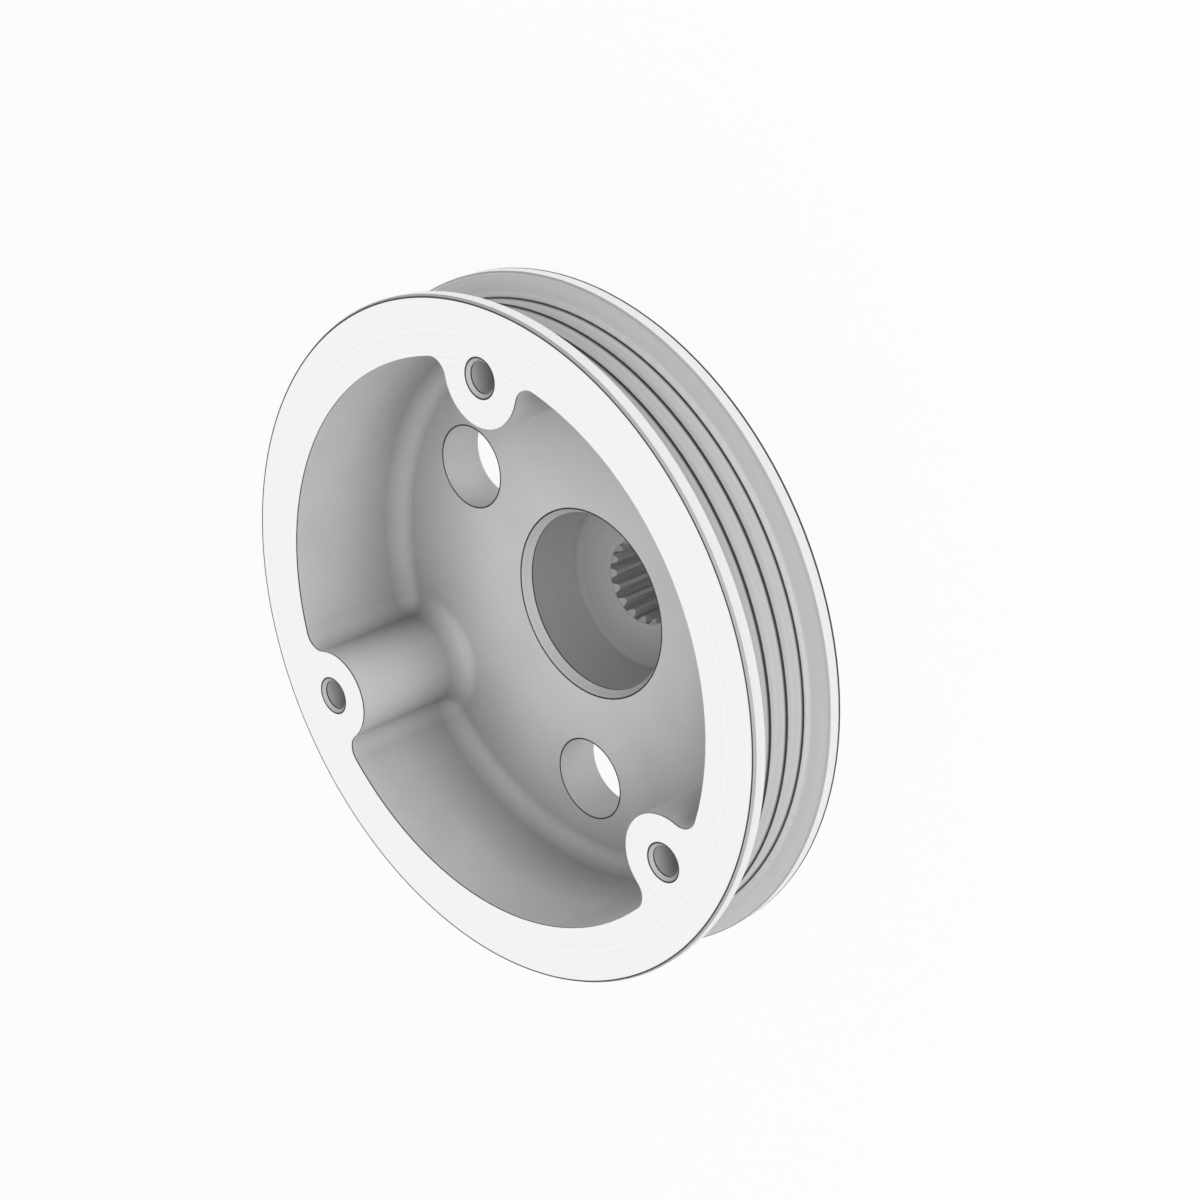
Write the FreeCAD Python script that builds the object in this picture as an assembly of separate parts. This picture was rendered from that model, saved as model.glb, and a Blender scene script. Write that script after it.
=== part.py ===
"""Dished belt pulley for a three-groove ribbed belt, with a splined hub.

The pulley is one cast and machined piece. It is modelled in millimetres, with its axis on Z and its
front, the open side of the dish, facing up. The origin is the centre of the hub's rear end face, so
the pulley stands on that face. Depths are measured back from the front face.
"""
import FreeCAD, Part
import math
import os

from FreeCAD import Vector

# Rim and flanges
flange_radius = 54.5
rim_width = 18.5
rib_top_radius = 50.85
front_chamfer_length = 0.47
front_chamfer_angle = 30.0
corner_chamfer = 0.3
flank_angle = 8.0
flange_root_fillet = 0.8
front_shoulder_flat = 0.3

# Belt grooves
groove_count = 3
groove_pitch = 3.56
middle_groove_depth = 9.35
groove_half_angle = 20.0
rib_top_fillet = 0.2
groove_bottom_fillet = 0.5

# Dish
pocket_radius = 45.36
web_front_depth = 22.2
web_thickness = 7.65
cast_fillet = 3.0
dish_outer_radius = 49.0
dish_corner_radius = 12.0
rear_flange_fillet = 1.0

# Bosses with tapped holes
boss_count = 3
boss_first_angle = 90.0
boss_circle_radius = 43.29
boss_radius = 7.62
tap_drill_radius = 2.5
tap_drill_depth = 18.0
tap_chamfer = 0.5
drill_point_angle = 118.0

# Round holes through the web
web_hole_count = 3
web_hole_first_angle = 30.0
web_hole_circle_radius = 31.2
web_hole_radius = 6.8

# Hub
total_length = 49.1
hub_radius = 19.0
hub_shoulder_depth = 39.5
neck_radius = 13.5
hub_fillet = 2.5
neck_chamfer = 0.8
counterbore_radius = 14.7
counterbore_depth = 34.0
counterbore_fillet = 1.0
counterbore_chamfer_length = 1.5
counterbore_chamfer_angle = 30.0

# Internal spline
spline_teeth = 17
spline_root_radius = 7.05
spline_tip_radius = 6.33
spline_root_tooth_angle = 14.1
spline_tip_tooth_angle = 6.2
spline_first_angle = 270.0

# Length by which cutters run past the faces that they open
clearance = 2.0

# The fillets beside a boss are a touch wider than the one round the pocket's floor, which turns inside them
blend_margin = 0.02

# Two places nearer than this count as one
nearness = 0.001

web_back_depth = web_front_depth + web_thickness
boss_blend_fillet = cast_fillet + blend_margin


def level(depth):
    """Height above the hub's end face of a plane this far behind the front face."""
    return total_length - depth


def at(radius, depth):
    """Point of the half section."""
    return Vector(radius, 0, level(depth))


def on_circle(radius, angle, height=0.0):
    turn = math.radians(angle)
    return Vector(radius * math.cos(turn), radius * math.sin(turn), height)


def spread(count, first_angle):
    return [first_angle + 360.0 * index / count for index in range(count)]


class Section:
    """Outline of a half section, drawn from point to point with lines and tangent arcs."""

    def __init__(self, start):
        self.edges = []
        self.first = start
        self.last = start

    def line(self, point):
        if point.distanceToPoint(self.last) > nearness:
            self.edges.append(Part.LineSegment(self.last, point).toShape())
            self.last = point

    def arc(self, centre, radius, start_angle, end_angle):
        """Arc about a centre. Angles run from outward (0) towards the front (90)."""
        points = []
        for angle in (start_angle, 0.5 * (start_angle + end_angle), end_angle):
            turn = math.radians(angle)
            points.append(centre + Vector(radius * math.cos(turn), 0, radius * math.sin(turn)))
        self.line(points[0])
        self.edges.append(Part.Arc(points[0], points[1], points[2]).toShape())
        self.last = points[2]

    def revolved(self):
        self.line(self.first)
        face = Part.Face(Part.Wire(self.edges))
        return face.revolve(Vector(0, 0, 0), Vector(0, 0, 1), 360)


def groove_bottom_centre_radius():
    """Radius of the fillet centre at a groove's bottom, so that the flanks run tangent to both fillets."""
    half_angle = math.radians(groove_half_angle)
    reach = rib_top_fillet + groove_bottom_fillet - math.cos(half_angle) * groove_pitch / 2
    return rib_top_radius - rib_top_fillet + reach / math.sin(half_angle)


def draw_front_flange(outline, shoulder_depth):
    """Flange in front of the belt, from the front face down to the first shoulder."""
    chamfer_height = front_chamfer_length * math.tan(math.radians(front_chamfer_angle))
    outline.line(at(flange_radius - chamfer_height, 0))
    outline.line(at(flange_radius, front_chamfer_length))
    tilt = math.radians(flank_angle)
    fillet_centre = at(rib_top_radius + flange_root_fillet, shoulder_depth - front_shoulder_flat)
    fillet_start = fillet_centre - Vector(math.sin(tilt), 0, -math.cos(tilt)) * flange_root_fillet
    flank_top_radius = flange_radius - corner_chamfer
    lean = (flank_top_radius - fillet_start.x) * math.tan(tilt)
    outline.line(Vector(flange_radius, 0, fillet_start.z + lean + corner_chamfer))
    outline.line(Vector(flank_top_radius, 0, fillet_start.z + lean))
    outline.arc(fillet_centre, flange_root_fillet, 180 - (90 - flank_angle), 180)


def draw_rear_flange(outline, shoulder_depth):
    """Flange behind the belt, from the last shoulder out and over to its rear face."""
    tilt = math.radians(flank_angle)
    fillet_centre = at(rib_top_radius + flange_root_fillet, shoulder_depth)
    outline.arc(fillet_centre, flange_root_fillet, 180, 270 - flank_angle)
    flank_top_radius = flange_radius - corner_chamfer
    lean = (flank_top_radius - outline.last.x) * math.tan(tilt)
    outline.line(Vector(flank_top_radius, 0, outline.last.z - lean))
    outline.line(Vector(flange_radius, 0, outline.last.z - corner_chamfer))
    outline.line(at(flange_radius, rim_width - corner_chamfer))
    outline.line(at(flange_radius - corner_chamfer, rim_width))


def draw_ribs(outline, shoulder_depth):
    """Grooves and ribs, from the front shoulder to the rear one."""
    side = 90 - groove_half_angle
    bottom_radius = groove_bottom_centre_radius()
    for index in range(groove_count):
        top_depth = shoulder_depth + index * groove_pitch
        groove_depth = top_depth + groove_pitch / 2
        top_centre = at(rib_top_radius - rib_top_fillet, top_depth)
        start_angle = 0 if index == 0 else side
        outline.arc(top_centre, rib_top_fillet, start_angle, -side)
        outline.arc(at(bottom_radius, groove_depth), groove_bottom_fillet, 180 - side, 180 + side)
    last_depth = shoulder_depth + groove_count * groove_pitch
    outline.arc(at(rib_top_radius - rib_top_fillet, last_depth), rib_top_fillet, side, 0)


def draw_dish_back(outline):
    """Back of the dish: a small fillet behind the rear flange, then one round corner down to the web."""
    corner_radius = dish_outer_radius - dish_corner_radius
    corner_depth = web_back_depth - dish_corner_radius
    drop = rim_width + rear_flange_fillet - corner_depth
    reach = dish_corner_radius + rear_flange_fillet
    tilt = math.degrees(math.asin(drop / reach))
    fillet_radius = corner_radius + math.sqrt(reach ** 2 - drop ** 2)
    fillet_centre = at(fillet_radius, rim_width + rear_flange_fillet)
    outline.arc(fillet_centre, rear_flange_fillet, 90, 180 - tilt)
    outline.arc(at(corner_radius, corner_depth), dish_corner_radius, -tilt, -90)


def draw_hub_back(outline):
    """Outside of the hub, from the web to the end face."""
    outline.arc(at(hub_radius + hub_fillet, web_back_depth + hub_fillet), hub_fillet, 90, 180)
    outline.arc(at(hub_radius - hub_fillet, hub_shoulder_depth - hub_fillet), hub_fillet, 0, -90)
    outline.arc(at(neck_radius + hub_fillet, hub_shoulder_depth + hub_fillet), hub_fillet, 90, 180)
    outline.line(at(neck_radius, total_length - neck_chamfer))
    outline.line(at(neck_radius - neck_chamfer, total_length))


def make_blank():
    """The pulley's outside as one turned shape, still solid in front."""
    shoulder_depth = middle_groove_depth - groove_pitch * groove_count / 2
    outline = Section(at(0, 0))
    draw_front_flange(outline, shoulder_depth)
    draw_ribs(outline, shoulder_depth)
    draw_rear_flange(outline, shoulder_depth + groove_count * groove_pitch)
    draw_dish_back(outline)
    draw_hub_back(outline)
    outline.line(at(0, total_length))
    return outline.revolved()


def pocket_outline():
    """Outline of the pocket seen from the front: the wall, three bosses and the fillets between them."""
    boss_reach = boss_radius + boss_blend_fillet
    wall_reach = pocket_radius - boss_blend_fillet
    # Place of a blend's centre beside a boss that lies on the positive X axis
    along = (wall_reach ** 2 - boss_reach ** 2 + boss_circle_radius ** 2) / (2 * boss_circle_radius)
    across = math.sqrt(wall_reach ** 2 - along ** 2)
    wall_angle = math.degrees(math.atan2(across, along))
    boss_angle = math.degrees(math.atan2(across, along - boss_circle_radius))
    edges = []
    for angle in spread(boss_count, boss_first_angle):
        boss = on_circle(boss_circle_radius, angle)
        blends = [on_circle(wall_reach, angle + side * wall_angle) for side in (-1, 1)]
        wall_touch = [on_circle(pocket_radius, angle + side * wall_angle) for side in (-1, 1)]
        boss_touch = [boss + on_circle(boss_radius, angle + side * boss_angle) for side in (-1, 1)]
        for index in (0, 1):
            pull = (wall_touch[index] + boss_touch[index]) * 0.5 - blends[index]
            middle = blends[index] + pull * (boss_blend_fillet / pull.Length)
            edges.append(Part.Arc(wall_touch[index], middle, boss_touch[index]).toShape())
        boss_nose = on_circle(boss_circle_radius - boss_radius, angle)
        edges.append(Part.Arc(boss_touch[0], boss_nose, boss_touch[1]).toShape())
        next_touch = on_circle(pocket_radius, angle + 360.0 / boss_count - wall_angle)
        wall_middle = on_circle(pocket_radius, angle + 180.0 / boss_count)
        edges.append(Part.Arc(wall_touch[1], wall_middle, next_touch).toShape())
    return Part.Wire(Part.__sortEdges__(edges))


def make_pocket():
    """The space inside the dish, with the cast fillet all round its floor."""
    floor = Part.Face(pocket_outline())
    floor.translate(Vector(0, 0, level(web_front_depth)))
    space = floor.extrude(Vector(0, 0, web_front_depth + clearance))
    floor_top = level(web_front_depth) + nearness
    floor_edges = [edge for edge in space.Edges if edge.BoundBox.ZMax < floor_top]
    return space.makeFillet(cast_fillet, floor_edges)


def make_counterbore():
    """Stepped bore in front of the spline, with its chamfer and floor fillet."""
    chamfer_height = counterbore_chamfer_length * math.tan(math.radians(counterbore_chamfer_angle))
    mouth_radius = counterbore_radius + chamfer_height
    outline = Section(at(0, web_front_depth - clearance))
    outline.line(at(mouth_radius, web_front_depth - clearance))
    outline.line(at(mouth_radius, web_front_depth))
    outline.line(at(counterbore_radius, web_front_depth + counterbore_chamfer_length))
    corner = at(counterbore_radius - counterbore_fillet, counterbore_depth - counterbore_fillet)
    outline.arc(corner, counterbore_fillet, 0, -90)
    outline.line(at(0, counterbore_depth))
    return outline.revolved()


def make_spline_bore():
    """Bore with straight-sided teeth, and a 45 degree lead-in at each end as deep as the teeth."""
    height = total_length - counterbore_depth + 2 * clearance
    half_root = spline_root_tooth_angle / 2
    half_tip = spline_tip_tooth_angle / 2
    edges = []
    for angle in spread(spline_teeth, spline_first_angle):
        corners = [on_circle(spline_root_radius, angle - half_root),
                   on_circle(spline_tip_radius, angle - half_tip),
                   on_circle(spline_tip_radius, angle + half_tip),
                   on_circle(spline_root_radius, angle + half_root)]
        edges.append(Part.LineSegment(corners[0], corners[1]).toShape())
        edges.append(Part.Arc(corners[1], on_circle(spline_tip_radius, angle), corners[2]).toShape())
        edges.append(Part.LineSegment(corners[2], corners[3]).toShape())
        space_middle = on_circle(spline_root_radius, angle + 180.0 / spline_teeth)
        next_corner = on_circle(spline_root_radius, angle + 360.0 / spline_teeth - half_root)
        edges.append(Part.Arc(corners[3], space_middle, next_corner).toShape())
    bore = Part.Face(Part.Wire(Part.__sortEdges__(edges))).extrude(Vector(0, 0, height))
    bore.translate(Vector(0, 0, -clearance))
    tooth_height = spline_root_radius - spline_tip_radius
    lead_ends = [(level(counterbore_depth), -1), (0, 1)]
    cones = []
    for end_height, inward in lead_ends:
        inner_height = end_height + inward * tooth_height
        lower = min(end_height, inner_height)
        radii = (spline_tip_radius, spline_root_radius)
        if inward > 0:
            radii = (spline_root_radius, spline_tip_radius)
        cones.append(Part.makeCone(radii[0], radii[1], tooth_height, Vector(0, 0, lower)))
    return bore.multiFuse(cones)


def make_tapped_holes():
    """Blind tapping holes in the bosses, chamfered at the front face. The thread itself isn't cut."""
    outline = Section(at(0, -clearance))
    mouth_radius = tap_drill_radius + tap_chamfer
    outline.line(at(mouth_radius, -clearance))
    outline.line(at(mouth_radius, 0))
    outline.line(at(tap_drill_radius, tap_chamfer))
    outline.line(at(tap_drill_radius, tap_drill_depth))
    point_length = tap_drill_radius / math.tan(math.radians(drill_point_angle / 2))
    outline.line(at(0, tap_drill_depth + point_length))
    drill = outline.revolved()
    holes = []
    for angle in spread(boss_count, boss_first_angle):
        hole = drill.copy()
        hole.translate(on_circle(boss_circle_radius, angle))
        holes.append(hole)
    return holes


def make_web_holes():
    height = web_thickness + 2 * clearance
    holes = []
    for angle in spread(web_hole_count, web_hole_first_angle):
        foot = on_circle(web_hole_circle_radius, angle, level(web_back_depth) - clearance)
        holes.append(Part.makeCylinder(web_hole_radius, height, foot))
    return holes


def make_pulley_body():
    cutters = [make_pocket(), make_counterbore(), make_spline_bore()]
    cutters += make_tapped_holes()
    cutters += make_web_holes()
    return make_blank().cut(cutters)


pulley_body = make_pulley_body()
os.makedirs("parts", exist_ok=True)
pulley_body.exportStep("parts/pulley_body.step")
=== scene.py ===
"""Looks of a cast aluminium belt pulley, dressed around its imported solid."""
import math

import bpy
import numpy as np
from mathutils import Matrix, Vector

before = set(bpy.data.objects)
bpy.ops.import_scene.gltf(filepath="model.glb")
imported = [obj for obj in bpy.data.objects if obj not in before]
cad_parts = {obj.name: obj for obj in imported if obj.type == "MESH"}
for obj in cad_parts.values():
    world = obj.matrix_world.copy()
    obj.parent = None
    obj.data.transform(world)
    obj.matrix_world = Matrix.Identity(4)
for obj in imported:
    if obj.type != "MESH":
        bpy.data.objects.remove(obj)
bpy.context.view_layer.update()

# Pulley body. The real one is a single aluminium casting, left as cast inside the dish and behind it,
# and turned, drilled and broached wherever a belt, a shaft, a screw or a cover touches it. Its shape
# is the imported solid's. Only its finish is made here, from each place's radius, height and angle.

# Heights above the hub's end face and radii from the axis, in millimetres. POCKET_CLEAR_R lies just
# outside the pocket's wall, and LAND_R just inside the flanges' outer faces.
FRONT_Z, RIM_BACK_Z, WEB_FRONT_Z = 49.1, 30.6, 26.9
POCKET_CLEAR_R, LAND_R, FRONT_EDGE_R, REAR_EDGE_Z = 46.2, 54.15, 54.23, 30.9
RIB_TOP_R, BELT_MID_Z, BELT_HALF_WIDTH = 50.85, 39.75, 5.34
NECK_FILLET_R, SPLINE_ROOT_R = 16.0, 7.05
COUNTERBORE_R, COUNTERBORE_FLOOR_Z, COUNTERBORE_FILLET = 14.7, 15.1, 1.0
MOUTH_R, MOUTH_FOOT_Z = 15.57, 25.4

# Three tapped holes and three web holes, by the radius of their circle, the angle of the first one in
# degrees and their own radii. Each reach takes in a hole's whole wall, and the sector is the angle from
# one hole to the next.
TAP_CIRCLE_R, TAP_ANGLE, TAP_MOUTH_R, TAP_REACH = 43.29, 90, 3.0, 3.3
TAP_FOOT_Z, TAP_END_Z = 48.6, 28.0
WEB_HOLE_CIRCLE_R, WEB_HOLE_ANGLE, WEB_HOLE_R, WEB_HOLE_REACH = 31.2, 30, 6.8, 6.95
SECTOR = 120

# Depth of the skin that belongs to a face, and widths of the dark lines along sharp edges
SKIN, LINE, REAR_LINE = 0.04, 0.24, 0.36

# Chamfers slope between these, where one is a face that lies flat and nought an upright wall
CHAMFER_LOW, CHAMFER_HIGH = 0.3, 0.9
MM_PER_M = 1000


def linear(code):
    """Linear colour of an sRGB hex code, with the sRGB curve undone on each channel."""
    channels = np.array([int(code[i:i + 2], 16) for i in (1, 3, 5)]) / 255
    low, high = channels / 12.92, ((channels + 0.055) / 1.055) ** 2.4
    return (*np.where(channels <= 0.04045, low, high).tolist(), 1.0)


def add(tree, kind, inputs=None, **settings):
    """Adds a node with its settings, gives inputs values or links, and returns its first output."""
    made = tree.nodes.new(kind)
    for name, value in settings.items():
        setattr(made, name, value)
    for socket, value in (inputs or {}).items():
        if isinstance(value, bpy.types.NodeSocket):
            tree.links.new(value, made.inputs[socket])
        else:
            made.inputs[socket].default_value = value
    return next((out for out in made.outputs if out.enabled), made)


# Aluminium, partly as cast and partly turned. Cast skin is mid grey and dull with a fine sandy grain.
# Turned faces are nearly white and satin, with faint rings round the axis.
aluminium = bpy.data.materials.new("cast_and_turned_aluminium")
aluminium.use_nodes = True
tree = aluminium.node_tree
tree.nodes.clear()
MATH, VECTOR, MIX = "ShaderNodeMath", "ShaderNodeVectorMath", "ShaderNodeMix"

place = tree.nodes.new("ShaderNodeTexCoord").outputs["Object"]
flat = add(tree, VECTOR, {0: place, 1: (MM_PER_M, MM_PER_M, 0)}, operation="MULTIPLY")
radius = add(tree, VECTOR, {0: flat}, operation="LENGTH")
parts = tree.nodes.new("ShaderNodeSeparateXYZ")
tree.links.new(place, parts.inputs[0])
height = add(tree, MATH, {0: parts.outputs["Z"], 1: MM_PER_M}, operation="MULTIPLY")
angle = add(tree, MATH, {0: parts.outputs["Y"], 1: parts.outputs["X"]}, operation="ARCTAN2")

normal = tree.nodes.new("ShaderNodeSeparateXYZ")
tree.links.new(tree.nodes.new("ShaderNodeNewGeometry").outputs["Normal"], normal.inputs[0])
slope = add(tree, MATH, {0: normal.outputs["Z"]}, operation="ABSOLUTE")

# Each place's distance from the nearest tapped hole and from the nearest web hole
distances = []
for circle, first in ((TAP_CIRCLE_R, TAP_ANGLE), (WEB_HOLE_CIRCLE_R, WEB_HOLE_ANGLE)):
    turn = add(tree, MATH, {0: angle, 1: math.radians(SECTOR / 2 - first)}, operation="ADD")
    sector = add(tree, MATH, {0: turn, 1: math.radians(SECTOR)}, operation="SNAP")
    folded = add(tree, "ShaderNodeVectorRotate", {"Vector": flat, "Angle": sector}, invert=True)
    axis = (circle * math.cos(math.radians(first)), circle * math.sin(math.radians(first)), 0)
    distances.append(add(tree, VECTOR, {0: folded, 1: axis}, operation="DISTANCE"))
from_tap, from_web_hole = distances

# Areas of each finish. An area is a list of tests that a place in it passes.
in_front = (height, "GREATER_THAN", FRONT_Z - SKIN)
on_web = (height, "GREATER_THAN", WEB_FRONT_Z - SKIN)
below_web = (height, "LESS_THAN", WEB_FRONT_Z - SKIN)
on_land = (radius, "GREATER_THAN", LAND_R)
in_mouth = (radius, "LESS_THAN", MOUTH_R)
bored_areas = [[(radius, "LESS_THAN", NECK_FILLET_R), below_web]]
grooved_areas = [
    [(radius, "GREATER_THAN", POCKET_CLEAR_R), (height, "GREATER_THAN", RIM_BACK_Z - SKIN)],
    [(from_web_hole, "LESS_THAN", WEB_HOLE_REACH), below_web],
    [in_mouth, (height, "GREATER_THAN", MOUTH_FOOT_Z), below_web],
]
tapped_areas = [[(from_tap, "LESS_THAN", TAP_REACH), (height, "GREATER_THAN", TAP_END_Z)]]
faced_areas = [[in_front], [on_land]]
shaded_chamfers = [[on_land, (slope, "GREATER_THAN", CHAMFER_LOW), (slope, "LESS_THAN", CHAMFER_HIGH)]]
edge_lines = [
    [in_front, (radius, "GREATER_THAN", FRONT_EDGE_R - LINE)],
    [(height, "GREATER_THAN", FRONT_Z - LINE), (height, "LESS_THAN", FRONT_Z - SKIN),
     (radius, "LESS_THAN", LAND_R), (from_tap, "GREATER_THAN", TAP_REACH)],
    [in_front, (from_tap, "LESS_THAN", TAP_MOUTH_R + LINE)],
    [(height, "LESS_THAN", REAR_EDGE_Z + REAR_LINE), on_land],
    [on_web, (radius, "LESS_THAN", MOUTH_R + LINE)],
    [on_web, (from_web_hole, "LESS_THAN", WEB_HOLE_R + LINE)],
    [(height, "GREATER_THAN", MOUTH_FOOT_Z - LINE), (height, "LESS_THAN", MOUTH_FOOT_Z), in_mouth],
    [(height, "GREATER_THAN", TAP_FOOT_Z - LINE), (height, "LESS_THAN", TAP_FOOT_Z),
     (from_tap, "LESS_THAN", TAP_MOUTH_R)],
]


def passes(tests, share=1.0):
    """The share given where a place passes every test, and nought elsewhere."""
    for value, operation, limit in tests:
        test = add(tree, MATH, {0: value, 1: limit}, operation=operation)
        share = add(tree, MATH, {0: share, 1: test}, operation="MULTIPLY")
    return share


masks = []
for areas in (bored_areas, grooved_areas, tapped_areas, faced_areas, shaded_chamfers, edge_lines):
    mask = 0.0
    for area in areas:
        mask = add(tree, MATH, {0: mask, 1: passes(area)}, operation="MAXIMUM")
    masks.append(mask)
bored, grooved, tapped, faced, chamfer_shade, lined = masks
turned = 0.0
for mask in masks:
    turned = add(tree, MATH, {0: turned, 1: mask}, operation="MAXIMUM")

# Turning rings lie along the radius on flat faces and along the height on walls. The real feed is
# about 0.15 mm, too fine to show, so the rings are drawn 0.5 mm apart.
RING_SPACING_MM, LYING_SLOPE = 0.5, 0.8
lying = add(tree, MATH, {0: slope, 1: LYING_SLOPE}, operation="GREATER_THAN")
across = add(tree, MIX, {"Factor": lying, "A": height, "B": radius})
rings = add(tree, "ShaderNodeTexNoise", {"W": across, "Scale": 1 / RING_SPACING_MM, "Detail": 2.0},
            noise_dimensions="1D")

# Cast grain of about 0.7 mm, over cloudy patches of about 12 mm
GRAIN_MM, PATCH_MM = 0.7, 12.0
grain = add(tree, "ShaderNodeTexNoise",
            {"Vector": place, "Scale": MM_PER_M / GRAIN_MM, "Detail": 3.0, "Roughness": 0.6})
patches = add(tree, "ShaderNodeTexNoise", {"Vector": place, "Scale": MM_PER_M / PATCH_MM, "Detail": 2.0})

# Painted shade darkens the cast skin in the hollows: where there is little open space around a place,
# and low down on the dish's wall and in the fillet round its floor
HOLLOW_MM, SHADE_TOP_Z, MOST_SHADED, FLATNESS_POWER = 24.0, 40.0, 0.71, 3.0
openness = add(tree, "ShaderNodeAmbientOcclusion", {"Distance": HOLLOW_MM / MM_PER_M},
               samples=8, only_local=True)
level = add(tree, "ShaderNodeMapRange", {"Value": height, "From Min": WEB_FRONT_Z, "From Max": SHADE_TOP_Z})
flatness = add(tree, MATH, {0: slope, 1: FLATNESS_POWER}, operation="POWER")
unshaded = add(tree, MATH, {0: level, 1: flatness}, operation="MAXIMUM")
unshaded = add(tree, "ShaderNodeMapRange", {"Value": unshaded, "To Min": MOST_SHADED})
openness = add(tree, MATH, {0: openness, 1: unshaded}, operation="MULTIPLY")

# Each finish has a darker and a lighter tone, a roughness and a metallic share. Cast skin comes first,
# with its painted shade in the hollows. Over it lie the turned faces, whose tones the rings mix, and the
# dark lines.
CAST_DARK, CAST_LIGHT, HOLLOW_SHADE = "#D3D4D5", "#E2E3E4", "#6B6C6D"
tone = add(tree, MIX, {0: patches, 6: linear(CAST_DARK), 7: linear(CAST_LIGHT)}, data_type="RGBA")
tone = add(tree, MIX, {0: openness, 6: linear(HOLLOW_SHADE), 7: tone}, data_type="RGBA")
roughness, metallic = 0.72, 0.3
# Bored, grooved and tapped faces have darker, duller tones, partly a satin cut and partly painted shade in
# the recesses
finishes = [(bored, "#B0B1B2", "#C0C1C2", 0.6, 0.4),
            (grooved, "#CDCECF", "#DADBDC", 0.55, 0.2),
            (tapped, "#B4B5B6", "#C2C3C4", 0.55, 0.2),
            (faced, "#EEEEEF", "#F8F8F9", 0.4, 1.0),
            # The chamfers' darker tone is painted shade
            (chamfer_shade, "#A6A7A8", "#B2B3B4", 0.55, 0.2),
            (lined, "#303132", "#3A3B3C", 0.6, 0.2)]
for mask, dark, light, rough, metal in finishes:
    ringed = add(tree, MIX, {0: rings, 6: linear(dark), 7: linear(light)}, data_type="RGBA")
    tone = add(tree, MIX, {0: mask, 6: tone, 7: ringed}, data_type="RGBA")
    roughness = add(tree, MIX, {"Factor": mask, "A": roughness, "B": rough})
    metallic = add(tree, MIX, {"Factor": mask, "A": metallic, "B": metal})

# Painted shade darkens the fillet in the counterbore's corner, most at its middle, where slope times
# steepness is greatest, and the roots between the spline's teeth
CORNER_SHADE, SHADE_IN_CORNER, SHADE_IN_ROOTS = "#4A4B4C", 0.6, 0.4
steepness = add(tree, MATH, {0: slope, 1: 2.0}, operation="POWER")
steepness = add(tree, MATH, {0: 1.0, 1: steepness}, operation="SUBTRACT")
steepness = add(tree, MATH, {0: steepness}, operation="SQRT")
shaded_share = add(tree, MATH, {0: slope, 1: steepness}, operation="MULTIPLY")
shaded_share = add(tree, MATH, {0: shaded_share, 1: SHADE_IN_CORNER}, operation="MULTIPLY")
shaded_share = passes([(radius, "LESS_THAN", COUNTERBORE_R + SKIN),
                (height, "GREATER_THAN", COUNTERBORE_FLOOR_Z - SKIN),
                (height, "LESS_THAN", COUNTERBORE_FLOOR_Z + COUNTERBORE_FILLET + SKIN)], shaded_share)
in_roots = add(tree, MATH, {0: radius, 1: SPLINE_ROOT_R, 2: SKIN}, operation="COMPARE")
in_roots = add(tree, MATH, {0: in_roots, 1: SHADE_IN_ROOTS}, operation="MULTIPLY")
shaded_share = add(tree, MATH, {0: shaded_share, 1: in_roots}, operation="MAXIMUM")
tone = add(tree, MIX, {0: shaded_share, 6: tone, 7: linear(CORNER_SHADE)}, data_type="RGBA")

# The tops of the ribs get dark belt rubber that is partly painted shade; it fades out a little way down
# their flanks, and a thin film of it lies on the fillets of the flanges beside them.
RUBBER_AND_SHADE, RUB_DEPTH, FILM_WIDTH, FILM = "#2C2C2C", 0.45, 0.9, 0.3
from_middle = add(tree, MATH, {0: height, 1: BELT_MID_Z}, operation="SUBTRACT")
from_middle = add(tree, MATH, {0: from_middle}, operation="ABSOLUTE")
film = add(tree, "ShaderNodeMapRange",
           {"Value": from_middle, "From Min": BELT_HALF_WIDTH + FILM_WIDTH, "From Max": BELT_HALF_WIDTH,
            "To Max": FILM})
in_ribs = add(tree, MATH, {0: from_middle, 1: BELT_HALF_WIDTH}, operation="LESS_THAN")
coated = add(tree, MATH, {0: in_ribs, 1: film}, operation="MAXIMUM")
on_tops = add(tree, "ShaderNodeMapRange",
              {"Value": radius, "From Min": RIB_TOP_R - RUB_DEPTH, "From Max": RIB_TOP_R - RUB_DEPTH / 3})
rubbed_and_shaded = add(tree, MATH, {0: on_tops, 1: coated}, operation="MULTIPLY")
tone = add(tree, MIX, {0: rubbed_and_shaded, 6: tone, 7: linear(RUBBER_AND_SHADE)}, data_type="RGBA")

# Relief in millimetres: grain on cast skin and rings on turned faces
GRAIN_DEPTH_MM, RING_DEPTH_MM = 0.05, 0.004
depth = add(tree, MIX, {"Factor": turned, "A": GRAIN_DEPTH_MM, "B": RING_DEPTH_MM})
pattern = add(tree, MIX, {"Factor": turned, "A": grain, "B": rings})
relief = add(tree, MATH, {0: depth, 1: pattern}, operation="MULTIPLY")
bump = add(tree, "ShaderNodeBump", {"Strength": 1.0, "Distance": 1 / MM_PER_M, "Height": relief})

surface = add(tree, "ShaderNodeBsdfPrincipled",
              {"Base Color": tone, "Metallic": metallic, "Roughness": roughness, "Normal": bump})
add(tree, "ShaderNodeOutputMaterial", {"Surface": surface})

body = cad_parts["pulley_body"]
body.data.materials.clear()
body.data.materials.append(aluminium)


# Floor. A wide pale sheet that the hub's end stands on. It shows white behind the pulley and keeps
# part of its shadow.
FLOOR_SIDE = 6.0
corners = FLOOR_SIDE / 2 * np.array([(-1, -1, 0), (1, -1, 0), (1, 1, 0), (-1, 1, 0)])
floor_mesh = bpy.data.meshes.new("floor")
floor_mesh.from_pydata(corners.tolist(), [], [(0, 1, 2, 3)])
floor = bpy.data.objects.new("floor", floor_mesh)
bpy.context.scene.collection.objects.link(floor)


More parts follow.
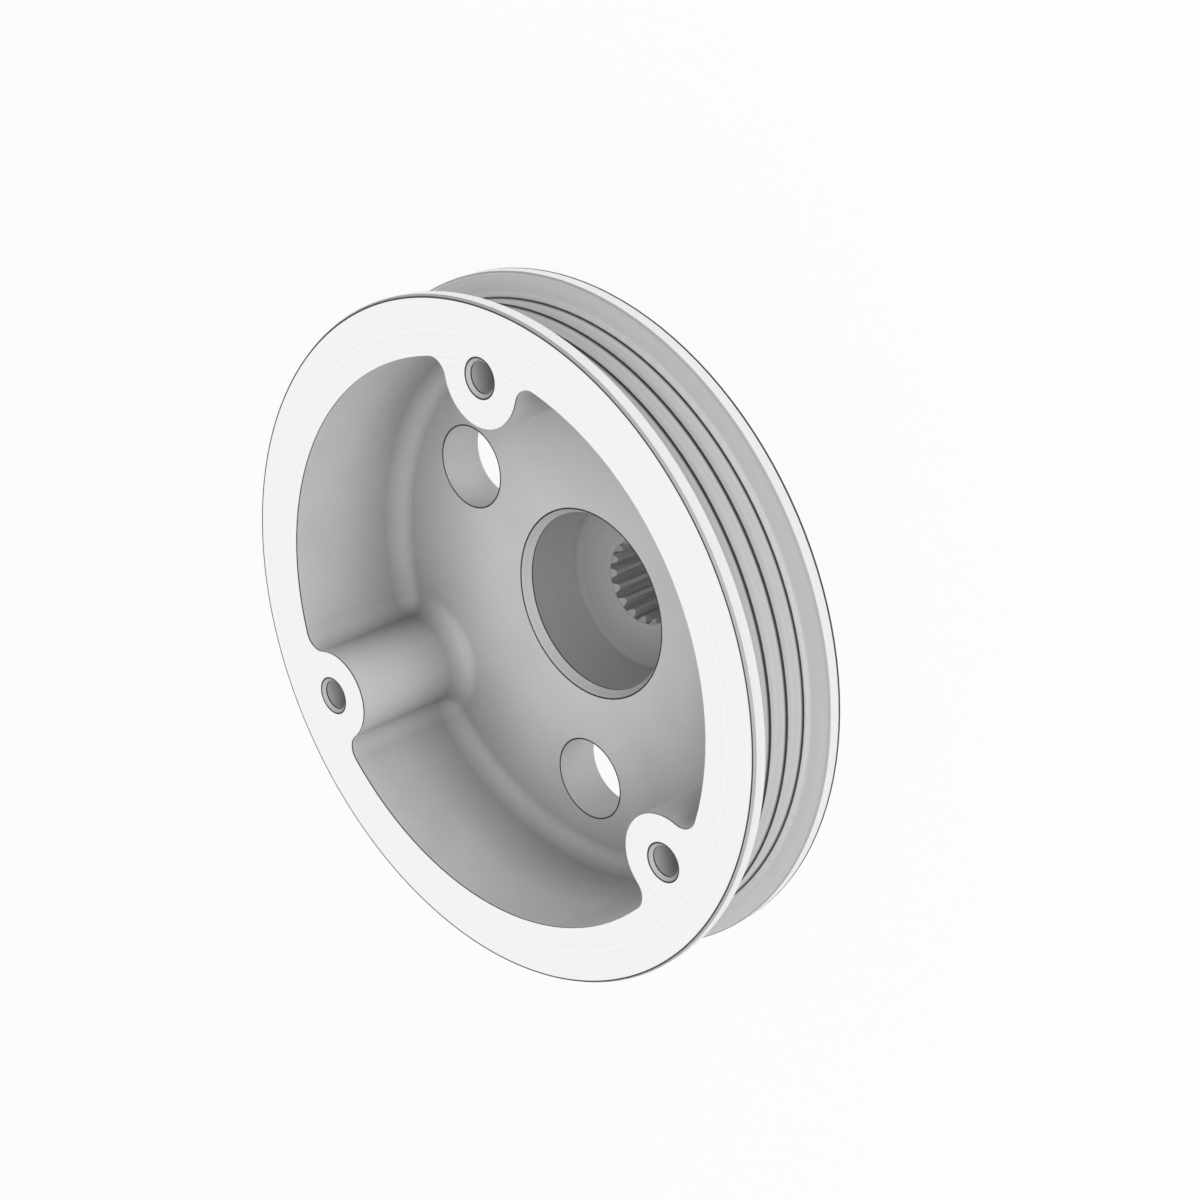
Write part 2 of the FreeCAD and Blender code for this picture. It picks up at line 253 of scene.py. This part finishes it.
def in_sight(tree):
    """One for a ray by which the camera, a gloss or a clear piece sees a surface, and nought for light."""
    rays = tree.nodes.new("ShaderNodeLightPath").outputs
    seen = add(tree, MATH, {0: rays["Is Camera Ray"], 1: rays["Is Glossy Ray"]}, operation="MAXIMUM")
    return add(tree, MATH, {0: seen, 1: rays["Is Transmission Ray"]}, operation="MAXIMUM")


# Paper is plain and matt. Where it is seen, most of its tone is an even white.
WHITE, WHITE_SHARE = (1, 1, 1, 1), 0.92
paper = bpy.data.materials.new("pale_paper")
paper.use_nodes = True
tree = paper.node_tree
tree.nodes.clear()
matt = add(tree, "ShaderNodeBsdfDiffuse", {"Color": linear("#F2F2F2")})
white = add(tree, "ShaderNodeEmission", {"Color": WHITE, "Strength": 1.0})
share = add(tree, MATH, {0: in_sight(tree), 1: WHITE_SHARE}, operation="MULTIPLY")
shown = add(tree, "ShaderNodeMixShader", {0: share, 1: matt, 2: white})
add(tree, "ShaderNodeOutputMaterial", {"Surface": shown})
floor_mesh.materials.append(paper)


# Light. A pale sky all round, and one large soft lamp to the right and in front of the dish. The lamp
# isn't mirrored by the turned faces, so that they stay evenly pale from every side.
SKY_LIGHT, SKY_SEEN = 0.56, 1.0
world = bpy.data.worlds.new("studio")
bpy.context.scene.world = world
world.use_nodes = True
tree = world.node_tree
tree.nodes.clear()
strength = add(tree, MIX, {"Factor": in_sight(tree), "A": SKY_LIGHT, "B": SKY_SEEN})
sky = add(tree, "ShaderNodeBackground", {"Color": WHITE, "Strength": strength})
add(tree, "ShaderNodeOutputWorld", {"Surface": sky})

LAMP_SIDE, LAMP_POWER = 0.7, 5.2
LAMP_PLACE, LAMP_AIM = Vector((0.737, 0.198, 0.5)), Vector((0, 0, 0.025))
lamp_data = bpy.data.lights.new("soft_lamp", "AREA")
lamp_data.size = LAMP_SIDE
lamp_data.energy = LAMP_POWER
lamp = bpy.data.objects.new("soft_lamp", lamp_data)
lamp.location = LAMP_PLACE
lamp.rotation_euler = (LAMP_AIM - LAMP_PLACE).to_track_quat("-Z", "Y").to_euler()
lamp.visible_glossy = False
bpy.context.scene.collection.objects.link(lamp)


# Camera. It looks at a point on the axis, from 45 degrees to the side and 25 degrees above the
# direction that the dish opens in, with the boss on +Y upwards in the picture.
VIEW_ANGLE = math.radians(27)
DISTANCE = 0.3938
AIM = Vector((0, 0, 0.02456))
SIDEWAYS, UPWARDS = math.radians(45), math.radians(25)
NEAREST_SEEN = 0.01
back = Vector((math.sin(SIDEWAYS) * math.cos(UPWARDS), math.sin(UPWARDS),
               math.cos(SIDEWAYS) * math.cos(UPWARDS)))
right = Vector((0, 1, 0)).cross(back).normalized()
up = back.cross(right)
turned_to_view = Matrix((right, up, back)).transposed().to_4x4()
camera_data = bpy.data.cameras.new("camera")
camera_data.angle = VIEW_ANGLE
camera_data.clip_start = NEAREST_SEEN
camera = bpy.data.objects.new("camera", camera_data)
camera.matrix_world = Matrix.Translation(AIM + back * DISTANCE) @ turned_to_view
bpy.context.scene.collection.objects.link(camera)
bpy.context.scene.camera = camera
bpy.context.scene.view_settings.view_transform = "Standard"
